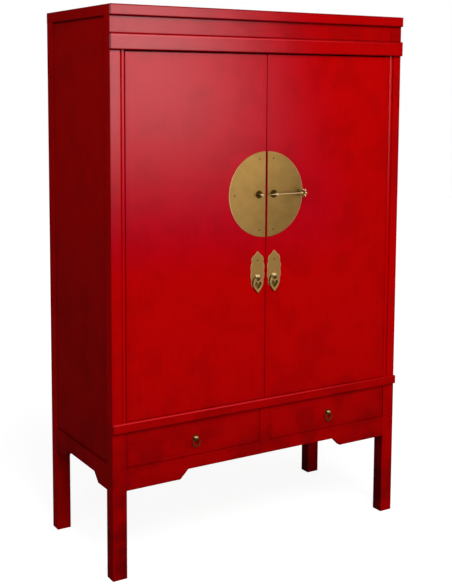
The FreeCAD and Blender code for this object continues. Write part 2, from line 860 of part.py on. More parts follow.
os.makedirs("parts", exist_ok=True)
for name, shape in all_pieces().items():
    shape.exportStep(f"parts/{name}.step")
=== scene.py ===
import math

import bmesh
import bpy
from mathutils import Matrix, Vector


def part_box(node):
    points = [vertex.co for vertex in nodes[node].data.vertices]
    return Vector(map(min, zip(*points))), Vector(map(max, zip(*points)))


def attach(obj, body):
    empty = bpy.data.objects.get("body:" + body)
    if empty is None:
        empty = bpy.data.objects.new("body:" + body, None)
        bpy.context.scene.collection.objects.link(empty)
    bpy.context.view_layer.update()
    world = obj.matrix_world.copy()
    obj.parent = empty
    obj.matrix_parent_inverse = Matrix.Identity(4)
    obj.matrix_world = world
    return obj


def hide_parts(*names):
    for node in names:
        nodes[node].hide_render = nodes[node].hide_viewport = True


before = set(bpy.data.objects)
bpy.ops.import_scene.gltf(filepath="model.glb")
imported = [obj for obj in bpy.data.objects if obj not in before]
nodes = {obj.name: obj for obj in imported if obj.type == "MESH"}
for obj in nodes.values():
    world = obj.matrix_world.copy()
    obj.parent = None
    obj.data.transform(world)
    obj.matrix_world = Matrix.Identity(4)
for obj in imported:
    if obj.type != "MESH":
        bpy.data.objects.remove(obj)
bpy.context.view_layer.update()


# The photographer's view
# Eye height of 1.63 m, three metres in front of the doors and two to the left, looking a little
# down. The lens is moderately long, and its centre lies above the middle of the picture.
picture_width = 452
picture_height = 584
film_width = 36
focal_pixels = 1032.95
lens_centre = (206.58, 197.59)
eye = Vector((-2.017, -3.221, 1.6335))
yaw = math.radians(30.761)
pitch = math.radians(6.005)
roll = math.radians(0.182)


def added(name, data):
    """A new object of the scene that carries the data."""
    item = bpy.data.objects.new(name, data)
    bpy.context.collection.objects.link(item)
    return item


forward = Vector((math.sin(yaw) * math.cos(pitch), math.cos(yaw) * math.cos(pitch), -math.sin(pitch)))
level_right = Vector((math.cos(yaw), -math.sin(yaw), 0))
level_up = level_right.cross(forward)
right = math.cos(roll) * level_right + math.sin(roll) * level_up
up = math.cos(roll) * level_up - math.sin(roll) * level_right
view = bpy.data.cameras.new("photographer")
view.sensor_width = film_width
view.lens = focal_pixels * film_width / picture_height
view.shift_x = (picture_width / 2 - lens_centre[0]) / picture_height
view.shift_y = (lens_centre[1] - picture_height / 2) / picture_height
photographer = added("photographer", view)
photographer.matrix_world = Matrix.Translation(eye) @ Matrix((right, up, -forward)).transposed().to_4x4()
bpy.context.scene.camera = photographer
bpy.context.scene.view_settings.view_transform = "Standard"


# The floor and the white surroundings
# A plain pale studio floor that keeps the cabinet's soft shadow near its feet and fades to white
# further out, where the white surroundings take over.
class Signal:
    """A socket of a finish that takes part in sums with other sockets and numbers."""

    def __init__(self, finish, socket):
        self.finish = finish
        self.socket = socket

    def sum(self, operation, first, second=0.0):
        return self.finish.node("ShaderNodeMath", {"operation": operation}, {0: first, 1: second})

    def __add__(self, other):
        return self.sum("ADD", self, other)

    def __sub__(self, other):
        return self.sum("SUBTRACT", self, other)

    def __rsub__(self, other):
        return self.sum("SUBTRACT", other, self)

    def __mul__(self, other):
        return self.sum("MULTIPLY", self, other)

    __radd__ = __add__
    __rmul__ = __mul__

    def smaller(self, other):
        return self.sum("MINIMUM", self, other)

    def greater(self, other):
        return self.sum("MAXIMUM", self, other)


class Finish:
    """The nodes of one surface, of a piece or of the surroundings."""

    def __init__(self, owner):
        owner.use_nodes = True
        self.tree = owner.node_tree
        self.place = self.node("ShaderNodeTexCoord", {}, {}, "Object")
        self.along = [self.node("ShaderNodeSeparateXYZ", {}, {0: self.place}, axis) for axis in "XYZ"]

    def node(self, kind, settings, inputs, output=0):
        """Adds a node: its settings first, then the values or links of its sockets."""
        node = self.tree.nodes.new(kind)
        for setting, value in settings.items():
            setattr(node, setting, value)
        for socket, value in inputs.items():
            if isinstance(value, Signal):
                self.tree.links.new(value.socket, node.inputs[socket])
            else:
                node.inputs[socket].default_value = value
        return Signal(self, node.outputs[output])

    def ramped(self, value, start, end, low=0.0, high=1.0):
        """Rises or falls smoothly from low to high while the value goes from start to end."""
        return self.node("ShaderNodeMapRange", {"interpolation_type": "SMOOTHSTEP"},
                         {"Value": value, "From Min": start, "From Max": end,
                          "To Min": low, "To Max": high})

    def off(self, axis, place):
        """Distance along one axis from a place, to either side."""
        return self.node("ShaderNodeMath", {"operation": "ABSOLUTE"}, {0: self.along[axis] - place})

    def feed(self, target, **links):
        """Links signals to the sockets of the output or of the surface, by their names."""
        for name, signal in links.items():
            self.tree.links.new(signal.socket, target.inputs[name.replace("_", " ")])


def white_for_eye_and_gloss(finish):
    """One for what the camera, gloss and glass see, nought for what lights the cabinet."""
    path = [finish.node("ShaderNodeLightPath", {}, {}, name)
            for name in ("Is Camera Ray", "Is Glossy Ray", "Is Transmission Ray")]
    return path[0].greater(path[1]).greater(path[2])


room_light = 0.24
surroundings = bpy.data.worlds.new("surroundings")
bpy.context.scene.world = surroundings
air = Finish(surroundings)
backdrop = air.tree.nodes["Background"]
air.feed(backdrop, Strength=white_for_eye_and_gloss(air) * (1.0 - room_light) + room_light)
backdrop.inputs["Color"].default_value = (1.0, 1.0, 1.0, 1.0)

floor_half = 9.0
floor_grey = (0.30, 0.30, 0.30, 1.0)
fade_start = 0.9
white_from = 3.0
near_glow = 0.88
floor_corners = [(x * floor_half, y * floor_half, 0) for x, y in ((-1, -1), (1, -1), (1, 1), (-1, 1))]
floor_mesh = bpy.data.meshes.new("studio_floor")
floor_mesh.from_pydata(floor_corners, [], [range(len(floor_corners))])
studio_floor = added("studio_floor", floor_mesh)
floor_paint = bpy.data.materials.new("studio_floor")
ground = Finish(floor_paint)
distance = ground.node("ShaderNodeVectorMath", {"operation": "LENGTH"}, {0: ground.place}, "Value")
glow = ground.ramped(distance, fade_start, white_from, near_glow, 1.0) * white_for_eye_and_gloss(ground)
matt = ground.node("ShaderNodeBsdfDiffuse", {}, {"Color": floor_grey})
lit = ground.node("ShaderNodeEmission", {}, {"Strength": glow})
ground.feed(ground.tree.nodes["Material Output"],
            Surface=ground.node("ShaderNodeAddShader", {}, {0: matt, 1: lit}))
floor_mesh.materials.append(floor_paint)


# The studio lamps
# A broad soft light high in front, a weaker soft box at the right whose sheen lies across the upper
# left of the doors, one high at the left for the side, and one that only gives the brass its glints.
def soft_box(name, place, aim, size, power, diffuse=True, glossy=True):
    """A square diffusing lamp that faces a point of the cabinet."""
    lamp = bpy.data.lights.new(name, "AREA")
    lamp.shape = "RECTANGLE"
    lamp.size, lamp.size_y = size
    lamp.energy = power
    holder = added(name, lamp)
    holder.location = place
    holder.rotation_euler = (Vector(aim) - Vector(place)).to_track_quat("-Z", "Y").to_euler()
    holder.visible_diffuse = diffuse
    holder.visible_glossy = glossy


door_face = -0.24
soft_box("front_light", place=(-0.7, -3.4, 4.2), aim=(0.0, door_face, 1.0), size=(2.0, 2.0),
         power=138.0, glossy=False)
soft_box("sheen_soft_box", place=(0.85, -3.0, 1.85), aim=(0.0, door_face, 1.3), size=(1.9, 1.5),
         power=26.0)
soft_box("side_lamp", place=(-2.0, -1.5, 3.1), aim=(0.0, door_face, 1.2), size=(0.9, 0.8),
         power=15.0, glossy=False)
soft_box("glint_lamp", place=(-3.7, -1.0, 3.3), aim=(0.0, door_face, 1.1), size=(2.6, 2.6),
         power=150.0, diffuse=False)


# Corner posts
# Four squared hardwood posts that reach from the floor to the cornice, with softened outer
# corners. Red lacquer is rubbed darker along their edges, and painted shade darkens them towards the feet
# and on their inner faces below the waist.
class Coat(Finish):
    """A finish for pieces of the cabinet, in a material of its own."""

    share_socket, first_socket, second_socket, colour_output = 0, 6, 7, 2

    def __init__(self, name):
        self.material = bpy.data.materials.new(name)
        super().__init__(self.material)
        self.surface = self.tree.nodes["Principled BSDF"]

    def noise(self, scale, detail, stretch=(1.0, 1.0, 1.0)):
        """Soft random shading, drawn out where the stretch is small."""
        stretched = self.node("ShaderNodeVectorMath", {"operation": "MULTIPLY"},
                              {0: self.place, 1: stretch})
        return self.node("ShaderNodeTexNoise", {}, {"Vector": stretched, "Scale": scale, "Detail": detail})

    def grained(self, grain, scale, detail, share):
        """Soft random shading, drawn out along the grain, where lengths count only that share."""
        return self.noise(scale, detail, tuple(share if axis == grain else 1.0 for axis in "xyz"))

    def mixed(self, share, first, second):
        """From the first colour to the second while the share goes from nought to one."""
        return self.node("ShaderNodeMix", {"data_type": "RGBA"},
                         {self.share_socket: share, self.first_socket: first,
                          self.second_socket: second}, self.colour_output)

    def relief(self, height, strength, depth):
        """Fine unevenness that follows a shading."""
        return self.node("ShaderNodeBump", {}, {"Strength": strength, "Distance": depth, "Height": height})


class Lacquer(Coat):
    """Deep red satin lacquer over wood, clouded, streaked along the grain, dark in the joints.

    The upper left of the front is polished, and a colder red is painted there as the tint of its sheen; the
    rest is rubbed nearly dull.
    Evenness carries the polish on over the whole width. Seams are heights at which another member meets
    this front and a painted shadow line runs, a highlight is a height and how strongly a painted highlight
    of brighter red shows there, and a slit is a painted shadow line between two neighbours: its half width,
    its middle and its reach up and down.
    Feet and crown are how much the piece darkens downward and upward; the darkening towards the feet is
    painted shade.
    Inner shade is how much painted shade darkens a leg on the face that looks to the middle.

    A range says where a shading starts and ends and, where it has four numbers, from what to what."""

    clear_red = (0.46, 0.0004, 0.0006, 1.0)
    # the colder red of the painted sheen tint on the polished upper left
    cold_red = (0.42, 0.0004, 0.0090, 1.0)
    # the dark red of wear and of painted shade
    aged_red = (0.085, 0.0004, 0.0008, 1.0)
    # the brighter red of the painted highlights along the top edges of the mouldings
    fresh_red = (0.72, 0.024, 0.036, 1.0)

    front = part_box("front_left_post")[0][1]
    front_range = (front + 0.003, front + 0.001)
    clear_of_front = 0.05
    frieze_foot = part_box("upper_moulding")[1][2]
    frieze_range = (frieze_foot, frieze_foot + 0.002, 0.0, 0.19)
    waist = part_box("waist_rail")[0][2]
    leg_range = (waist, waist - 0.05)
    inner_range = (0.0012, 0.0002)
    foot_range = (0.75, 0.05)
    foot_cloud_range = (0.36, 0.64, 0.75, 1.25)
    crown_range = (0.75, 1.35)

    cloud_range = (0.42, 0.66, 0.0, 0.14)
    patch_range = (0.50, 0.70, 0.0, 0.06)
    streak_range = (0.50, 0.72, 0.0, 0.10)
    edge_range = (0.045, 0.012, 0.0, 0.08)
    edge_wander = 0.03
    joint_range = (0.0042, 0.0015)
    joint_wander = 0.003
    seam_range = (0.0045, 0.0025)
    slit_softness = 0.001
    slit_end = 0.002
    line_depth = 0.35

    cold_height_range = (0.95, 1.25)
    cold_range = (0.88, 0.42)
    sheen_height_range = (1.04, 1.70)
    sheen_range = (0.81, 0.01)
    sheen_lean = 0.3
    sheen_wander = 0.06
    dull_coat = 0.01
    fresh_range = (0.0024, 0.0010)
    fresh_fade_range = (0.75, -0.2)

    def __init__(self, name, low, high, grain, age=0.0, edge=0.4, polish=0.30, worn=None,
                 seams=(), evenness=0.0, feet=0.45, crown=0.0, inner=0.0, slit=None):
        super().__init__(name)
        self.clouds = self.noise(scale=11.0, detail=4.0)
        self.patches = self.noise(scale=46.0, detail=3.0)
        self.streaks = self.grained(grain, scale=210.0, detail=3.0, share=0.05)
        self.on_front = self.ramped(self.along[1], *self.front_range)
        # Painted shadow lines at the seams and in the slit; the coat is left off them too.
        dark_line = self.lined(seams, slit)
        leaning = self.along[0] + self.along[2] * self.sheen_lean + self.clouds * self.sheen_wander
        # A colder red painted on the upper left of the front stands in for the tint of the sheen.
        cold = (self.ramped(self.along[2], *self.cold_height_range)
                * self.ramped(leaning, *self.cold_range) * self.on_front)
        shade = (self.rubbed(low, high, edge) + age + self.darkened(low, high, feet, crown, inner)
                 + dark_line * self.line_depth)
        colour = self.mixed(shade.smaller(1.0), self.mixed(cold, self.clear_red, self.cold_red),
                            self.aged_red)
        # A painted highlight: a brighter red along one height, fading towards the right.
        if worn:
            height, strength = worn
            fresh = (self.ramped(self.off(2, height), *self.fresh_range)
                     * self.ramped(self.along[0], *self.fresh_fade_range) * strength)
            colour = self.mixed(fresh, colour, self.fresh_red)
        sheen = (self.ramped(self.along[2], *self.sheen_height_range) * self.on_front
                 * (1.0 - dark_line) * self.ramped(leaning, *self.sheen_range).greater(evenness))
        self.surface.inputs["Specular IOR Level"].default_value = 0.0
        self.surface.inputs["Coat Roughness"].default_value = 0.3
        self.surface.inputs["Coat IOR"].default_value = 2.0
        brushed = self.relief(self.streaks * 0.6 + self.patches * 0.4, strength=0.06, depth=0.0004)
        self.feed(self.surface, Base_Color=colour, Normal=brushed,
                  Coat_Weight=sheen * polish + self.dull_coat)

    def rubbed(self, low, high, edge):
        """Clouds and streaks of wear, darker along the edges and darkest beside the joints."""
        behind = (low[0], low[1] - self.clear_of_front, low[2])
        by_edge = self.from_edge(low, high) + self.clouds * self.edge_wander
        by_joint = self.from_edge(behind, high) + self.patches * self.joint_wander
        return (self.ramped(self.clouds, *self.cloud_range) + self.ramped(self.patches, *self.patch_range)
                + self.ramped(self.streaks, *self.streak_range) + self.ramped(by_edge, *self.edge_range)
                + self.ramped(by_joint, *self.joint_range) * edge)

    def lined(self, seams, slit):
        """Painted shadow lines on the front at the seams, or the one between two neighbours."""
        line = 0.0
        for height in seams:
            line = self.ramped(self.off(2, height), *self.seam_range) * self.on_front + line
        if slit:
            width, middle, reach = slit
            line = (self.ramped(self.off(0, 0.0), width + self.slit_softness, width)
                    * self.ramped(self.off(2, middle), reach, reach - self.slit_end))
        return line

    def darkened(self, low, high, feet, crown, inner):
        """Painted shade towards the feet and on a leg's inner face, and darkening towards the crown and the
        frieze.
        """
        # Painted shade on the face of a leg that looks to the middle, below the waist.
        inward = self.off(0, 0.0) - min(abs(low[0]), abs(high[0]))
        inner_face = self.ramped(inward, *self.inner_range) * self.ramped(self.along[2], *self.leg_range)
        # Painted shade towards the feet, patchy with the clouds.
        downward = (self.ramped(self.along[2], *self.foot_range)
                    * self.ramped(self.clouds, *self.foot_cloud_range))
        return (downward * feet + inner_face * inner + self.ramped(self.along[2], *self.crown_range) * crown
                + self.ramped(self.along[2], *self.frieze_range) * self.on_front)

    def from_edge(self, low, high):
        """Distance to the nearest edge of a squared piece: the middle one of three."""
        across = [(along - low[i]).smaller(high[i] - along) for i, along in enumerate(self.along)]
        lesser = across[0].smaller(across[1])
        greater = across[0].greater(across[1])
        return lesser.greater(greater.smaller(across[2]))


def paint(node_name, finish):
    """Puts a finish on a piece of the cabinet that keeps its shape."""
    for slot in nodes[node_name].material_slots:
        slot.material = finish.material


def lacquered(node_name, grain, trim=(0.0, 0.0, 0.0), **look):
    """Lacquers a squared piece; trim is what its tenons or tongues hide at each end."""
    low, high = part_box(node_name)
    low = [value + hidden for value, hidden in zip(low, trim)]
    high = [value - hidden for value, hidden in zip(high, trim)]
    paint(node_name, Lacquer(node_name, low, high, grain, **look))


moulding_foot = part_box("upper_moulding")[0][2]
moulding_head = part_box("upper_moulding")[1][2]
cornice_foot, cornice_head = (corner[2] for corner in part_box("cornice"))
# Painted shadow lines at the foot and head of the upper moulding and under the cornice.
front_seams = (moulding_foot, moulding_head, cornice_foot)
# Each post has painted shade towards its feet and on its inner face below the waist.
lacquered("front_left_post", "z", age=0.03, seams=front_seams, feet=0.46, inner=0.5, polish=0.33)
lacquered("front_right_post", "z", age=-0.12, seams=front_seams, feet=0.41, crown=0.24, inner=0.6,
          polish=0.33)
lacquered("back_left_post", "z", age=0.03, feet=0.05, inner=0.5)
lacquered("back_right_post", "z", age=0.03, feet=0.30, inner=0.5)


# Bead strips
# Narrow hardwood beads, glued into the rabbets of the front posts beside the doors. The groove
# between bead and post is left unpolished, and the bead is polished evenly.
for side in ("left", "right"):
    # The beads are painted a lighter red than the posts, a painted highlight on their rounded faces.
    lacquered(side + "_bead_strip", "z", age=-0.18, edge=0.15, polish=0.24, evenness=0.9)


# Top frame
# Cornice, side members and back member make the frame under the top, tenoned together round a
# floating panel, all lacquered as the posts are.
# The cornice carries painted shadow lines at its foot and its head.
lacquered("cornice", "x", age=-0.06, polish=0.35, seams=(cornice_foot, cornice_head))
lacquered("top_back_rail", "x", age=0.06)
tenon = 0.02
tongue = 0.014
for side in ("left", "right"):
    lacquered("top_" + side + "_rail", "y", age=0.06, trim=(0.0, tenon, 0.0))
lacquered("top_panel", "x", age=0.04, trim=(tongue, tongue, 0.0))


# Frieze and upper moulding
# A plain frieze rail over the doors, with a flat moulding planted on its lower part that runs
# across the posts too.
past_the_posts = 0.05
# A painted highlight of brighter red runs along the upper moulding just below its head.
worn_below_head = 0.0065
lacquered("frieze_rail", "x", age=0.03, trim=(-past_the_posts, 0.0, 0.0), polish=0.33,
          seams=front_seams)
lacquered("upper_moulding", "x", age=0.10, polish=0.36, seams=(moulding_foot, moulding_head),
          worn=(moulding_head - worn_below_head, 0.5))


# Waist rails
# The hardwood rail that carries the doors, with a moulding planted on its face, and a plain rail
# at the back. Both rails are tenoned into the posts.
# A painted highlight of brighter red runs along the top edge of the waist moulding.
worn_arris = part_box("waist_moulding")[1][2] - 0.002
lacquered("waist_rail", "x", age=0.05, trim=(tenon, 0.0, 0.0))
lacquered("waist_moulding", "x", age=0.03, worn=(worn_arris, 0.65))
lacquered("back_waist_rail", "x", age=0.2, trim=(tenon, 0.0, 0.0))


# Aprons
# Shaped hardwood boards under the drawers, the sides and the back, tenoned into the posts. Each
# steps up between its two feet.
lacquered("front_apron", "x", age=0.02, trim=(tenon, 0.0, 0.0))
lacquered("back_apron", "x", age=0.1, trim=(tenon, 0.0, 0.0))
for side in ("left", "right"):
    lacquered(side + "_apron", "y", age=0.08, trim=(0.0, tenon, 0.0))


# Side panels
# One wide panel in each side, loose in the grooves of the frame, with a dark shadow gap all round
# its raised field.
for side in ("left", "right"):
    # The side panels are painted darker all over, painted shade for a side that the lamps light less, and
    # lighter towards the top, painted light.
    lacquered(side + "_side_panel", "z", age=0.27, feet=0.22, crown=-0.21,
              trim=(0.0, tongue, tongue))


# Back panel, floor board and shelves
# Plain sawn and planed boards inside the cupboard: a thin back, the floor on the waist rails, and
# two loose shelves on cleats.
class PlainWood(Coat):
    """Planed softwood under a thin sealer, with growth rings drawn out along the grain."""

    pale = (0.47, 0.31, 0.165, 1.0)
    ringed = (0.30, 0.175, 0.08, 1.0)
    ring_count = 9.0
    ring_range = (0.55, 0.95, 0.0, 0.55)
    fibre_range = (0.40, 0.70, 0.0, 0.30)

    def __init__(self, name, grain):
        super().__init__(name)
        drift = self.grained(grain, scale=9.0, detail=2.0, share=0.06)
        fibre = self.grained(grain, scale=420.0, detail=2.0, share=0.06)
        rings = self.node("ShaderNodeMath", {"operation": "FRACT"}, {0: drift * self.ring_count})
        shade = self.ramped(rings, *self.ring_range) + self.ramped(fibre, *self.fibre_range)
        self.surface.inputs["Specular IOR Level"].default_value = 0.3
        self.feed(self.surface, Base_Color=self.mixed(shade, self.pale, self.ringed),
                  Normal=self.relief(fibre, strength=0.15, depth=0.0003), Roughness=shade * 0.15 + 0.55)


boards_along = PlainWood("boards_along_x", "x")
boards_upright = PlainWood("boards_upright", "z")
boards_deep = PlainWood("boards_front_to_back", "y")
paint("back_panel", boards_upright)
paint("shelf_cleats", boards_deep)
for name in ("floor_board", "lower_shelf", "upper_shelf"):
    paint(name, boards_along)


# Doors
# Two flush slab doors that meet in the middle. The lacquer is at its clearest here, with faint
# clouds and a dark line round the edges.
def middle_of(node_name):
    """The middle of a solid's box as seen from the front: x and z."""
    low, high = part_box(node_name)
    return (low[0] + high[0]) / 2, (low[2] + high[2]) / 2


slit_half = 0.0045
disc_foot, disc_head = (corner[2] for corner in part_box("right_half_disc"))
disc_middle = middle_of("right_half_disc")[1]
# The slit is a painted shadow line down the meeting edges of the doors behind the face plate.
for side, crown in (("left", 0.0), ("right", 0.05)):
    lacquered(side + "_door", "z", age=-0.02, crown=crown, polish=0.25,
              slit=(slit_half, disc_middle, (disc_head - disc_foot) / 2))


# Door pivots
# Turned steel pins in the top and bottom edges of each door, blackened with age. They turn in
# holes of the rails over and under the doors.
class Steel(Coat):
    """Old turned steel with fine rings round the pin."""

    blackened = (0.012, 0.010, 0.009, 1.0)
    bare = (0.03, 0.026, 0.022, 1.0)

    def __init__(self, name):
        super().__init__(name)
        rings = self.noise(scale=2400.0, detail=1.0, stretch=(0.1, 0.1, 1.0))
        self.surface.inputs["Metallic"].default_value = 1.0
        self.feed(self.surface, Base_Color=self.mixed(rings, self.blackened, self.bare),
                  Roughness=rings * 0.2 + 0.5)


pin_steel = Steel("pivot_steel")
for side in ("left", "right"):
    paint(side + "_door_pivots", pin_steel)


# Face plate
# A round brass plate cut in two, one half on each door. It is brushed across and aged unevenly,
# with a slightly rolled rim. A painted highlight lightens the rim, painted shade darkens the plate towards
# the lower right, and painted shadow rings the feet of the eye posts.
class Brass(Coat):
    """Antique satin brass, brushed along x, with a brown age film in clouds, lines and spots.

    A recess paints shade along one axis: an axis, a place on it, and how far from there the shade
    starts and where it is full. A shelter is painted shadow round a spot on both doors, x and z, full
    inside the first radius and gone at the second; its last number is how dark it is there. A rim is
    a height and a radius outside which a painted highlight brightens the brass. Dusk is a height
    below and to the right of which painted shade grows."""

    bright = (0.245, 0.141, 0.041, 1.0)
    aged = (0.040, 0.020, 0.002, 1.0)
    # rubbed brass, which the face plate's rim also takes as a painted highlight
    rubbed = (0.46, 0.325, 0.16, 1.0)

    brushing_stretch = (0.045, 1.0, 1.0)
    cloud_range = (0.35, 0.70, 0.0, 0.10)
    line_range = (0.42, 0.70, 0.0, 0.12)
    spot_range = (0.60, 0.75, 0.0, 0.10)
    recess_film = 0.95
    dusk_slope = 0.5
    dusk_range = (-0.10, 0.16, 0.0, 0.33)
    rim_softness = 0.0008
    rim_lustre = 0.6

    def __init__(self, name, age=0.0, brushing=1.0, roughness=0.34, lustre=0.0, recesses=(),
                 shelters=(), rim=None, dusk=None):
        super().__init__(name)
        lines = self.noise(scale=1500.0, detail=2.0, stretch=self.brushing_stretch)
        clouds = self.noise(scale=26.0, detail=4.0)
        spots = self.noise(scale=340.0, detail=3.0)
        shade = (self.ramped(clouds, *self.cloud_range) + self.ramped(lines, *self.line_range) * brushing
                 + self.ramped(spots, *self.spot_range) + age)
        for axis, place, clean, dark in recesses:
            into = self.along["xyz".index(axis)]
            shade = shade + self.ramped(into, place + clean, place + dark, 0.0, self.recess_film)
        for spot, full, gone, thick in shelters:
            shade = shade + self.ramped(self.spread(*spot), gone, full, 0.0, thick)
        # Painted shade that grows towards the lower right of the piece.
        if dusk:
            aslant = self.along[0] - (self.along[2] - dusk) * self.dusk_slope
            shade = shade + self.ramped(aslant, *self.dusk_range)
        # A painted highlight brightens the rim towards the rubbed colour.
        if rim:
            height, radius = rim
            lustre = self.ramped(self.spread(0.0, height), radius, radius + self.rim_softness,
                                 0.0, self.rim_lustre)
        base = self.mixed(lustre, self.bright, self.rubbed)
        self.surface.inputs["Metallic"].default_value = 1.0
        self.feed(self.surface, Base_Color=self.mixed(shade.smaller(1.0), base, self.aged),
                  Normal=self.relief(lines, strength=0.12 * brushing, depth=0.0002),
                  Roughness=shade * 0.25 + roughness)

    def spread(self, x, z):
        """Distance in the plane of the doors from the spot at x and z, the same on both doors."""
        across = self.off(0, 0.0) - x
        rise = self.along[2] - z
        return self.node("ShaderNodeMath", {"operation": "SQRT"}, {0: across * across + rise * rise})


def mesh_piece(name, mesh, finish, record_slot, body, *stands_for):
    """Hangs a finished mesh on the body it moves with, in place of the plain solids."""
    mesh.materials.clear()
    mesh.materials.append(finish.material)
    piece = added(name, mesh)
    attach(piece, body)
    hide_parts(*stands_for)


crease = math.radians(32)
same_point = 1e-6
squarely = 0.9995


def shaded(mesh):
    """Smooth shading, but for sharp creases and the rims of flat front and rear faces."""
    form = bmesh.new()
    form.from_mesh(mesh)
    bmesh.ops.remove_doubles(form, verts=form.verts, dist=same_point)
    bmesh.ops.recalc_face_normals(form, faces=form.faces)
    for face in form.faces:
        face.smooth = True
    for edge in form.edges:
        flat = [abs(face.normal.y) > squarely for face in edge.link_faces]
        edge.smooth = len(set(flat)) == 1 and edge.calc_face_angle(0.0) < crease
    form.to_mesh(mesh)
    form.free()
    return mesh


def settled(item):
    """The plain mesh that a curve, or an object with its modifiers, makes."""
    bpy.context.view_layer.update()
    return bpy.data.meshes.new_from_object(item.evaluated_get(bpy.context.evaluated_depsgraph_get()))


def plate(name, outlines, front, thickness, rim):
    """A flat plate in the plane of the doors, cut to closed outlines, with rounded rims."""
    curve = bpy.data.curves.new(name, "CURVE")
    curve.dimensions = "2D"
    curve.fill_mode = "BOTH"
    curve.extrude = thickness / 2 - rim
    curve.bevel_depth = rim
    curve.bevel_resolution = 2
    curve.offset = -rim
    for outline in outlines:
        line = curve.splines.new("POLY")
        line.points.add(len(outline) - 1)
        for point, (x, z) in zip(line.points, outline):
            point.co = (x, z, 0, 1)
        line.use_cyclic_u = True
    drawn = added(name, curve)
    mesh = settled(drawn)
    bpy.data.objects.remove(drawn)
    bpy.data.curves.remove(curve)
    stood_up = Matrix(((1, 0, 0, 0), (0, 0, -1, front + thickness / 2), (0, 1, 0, 0), (0, 0, 0, 1)))
    mesh.transform(stood_up)
    return shaded(mesh)


disc_radius = 0.150
disc_thickness = 0.0015
disc_points = 96
bright_rim = 0.003
soft_rim = 0.0004
half_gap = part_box("right_half_disc")[0][0]
# Painted shadow round the feet of the eye posts on the face plate.
post_film = (0.010, 0.017, 0.95)
brass_plate = Brass("face_plate_brass", shelters=((middle_of("right_eye_post"), *post_film),),
                    rim=(disc_middle, disc_radius - bright_rim + half_gap), dusk=disc_middle)


def on_disc(hand, radius, turn):
    """A place on one half of the face plate, at a radius and a turn up from the level."""
    return hand * (half_gap + radius * math.cos(turn)), disc_middle + radius * math.sin(turn)


for side, hand in (("left", -1), ("right", 1)):
    half_round = [on_disc(hand, disc_radius, math.pi * (number / disc_points - 0.5))
                  for number in range(disc_points + 1)]
    half_disc = plate(side + "_face_plate", [half_round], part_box(side + "_half_disc")[0][1],
                      disc_thickness, soft_rim)
    mesh_piece(side + "_face_plate", half_disc, brass_plate, "brass", side + "_door", side + "_half_disc")


# Nails of the face plate and the pull plates
# Small round-headed brass nails, three round each half of the face plate and one in each pull
# plate, nearly black with age. Geometry Nodes set one head on each nail place.
nail_radius = 0.0026
nail_height = 0.0012
nail_circle = 0.127
nail_spread = math.radians(79)
pull_nail_rise = 0.039
old_brass = Brass("nail_brass", age=0.9, brushing=0.2)


def rule(name, **kinds):
    """A new Geometry Nodes tree with named inputs, and its input and output nodes."""
    tree = bpy.data.node_groups.new(name, "GeometryNodeTree")
    tree.interface.new_socket("Geometry", in_out="OUTPUT", socket_type="NodeSocketGeometry")
    for title, kind in kinds.items():
        tree.interface.new_socket(title.replace("_", " "), in_out="INPUT", socket_type="NodeSocket" + kind)
    return tree, tree.nodes.new("NodeGroupInput"), tree.nodes.new("NodeGroupOutput")


def step(tree, kind, **inputs):
    """One node of a tree; each input is a value or the socket that feeds it."""
    node = tree.nodes.new(kind)
    for title, value in inputs.items():
        socket = node.inputs[title.replace("_", " ")]
        if isinstance(value, bpy.types.NodeSocket):
            tree.links.new(value, socket)
        else:
            socket.default_value = value
    return node


def grown(name, mesh, tree, **values):
    """Runs a tree on a mesh and returns the plain result."""
    carrier = added(name, mesh)
    modifier = carrier.modifiers.new(name, "NODES")
    modifier.node_group = tree
    for item in tree.interface.items_tree:
        if item.in_out == "INPUT" and item.name.replace(" ", "_") in values:
            modifier[item.identifier] = values[item.name.replace(" ", "_")]
    result = settled(carrier)
    carrier.modifiers.remove(modifier)
    bpy.data.objects.remove(carrier)
    return result


nail_rule, given, made = rule("nail_heads", Places="Geometry", Head_radius="Float",
                              Head_height="Float", Finish="Material")
ball = step(nail_rule, "GeometryNodeMeshUVSphere", Segments=20, Rings=12, Radius=1.0)
squash = step(nail_rule, "ShaderNodeCombineXYZ", X=given.outputs["Head radius"],
              Y=given.outputs["Head height"], Z=given.outputs["Head radius"])
head = step(nail_rule, "GeometryNodeTransform", Geometry=ball.outputs["Mesh"],
            Scale=squash.outputs["Vector"])
places = step(nail_rule, "GeometryNodeMeshToPoints", Mesh=given.outputs["Places"])
heads = step(nail_rule, "GeometryNodeInstanceOnPoints", Points=places.outputs["Points"],
             Instance=head.outputs["Geometry"])
solid = step(nail_rule, "GeometryNodeRealizeInstances", Geometry=heads.outputs["Instances"])
smooth = step(nail_rule, "GeometryNodeSetShadeSmooth", Geometry=solid.outputs["Geometry"])
painted = step(nail_rule, "GeometryNodeSetMaterial", Geometry=smooth.outputs["Geometry"],
               Material=given.outputs["Finish"])
nail_rule.links.new(painted.outputs["Geometry"], made.inputs["Geometry"])

for side, hand in (("left", -1), ("right", 1)):
    on_plate = [on_disc(hand, nail_circle, turn) for turn in (-nail_spread, 0.0, nail_spread)]
    spots = [(x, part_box(side + "_half_disc")[0][1], z) for x, z in on_plate]
    pull_x, pull_z = middle_of(side + "_pull_plate")
    spots.append((pull_x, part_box(side + "_pull_plate")[0][1], pull_z + pull_nail_rise))
    nail_places = bpy.data.meshes.new("nail_places")
    nail_places.from_pydata(spots, [], [])
    nails = grown(side + "_nails", nail_places, nail_rule, Head_radius=nail_radius,
                  Head_height=nail_height, Finish=old_brass.material)
    mesh_piece(side + "_nails", nails, old_brass, "brass", side + "_door", side + "_door_nails")


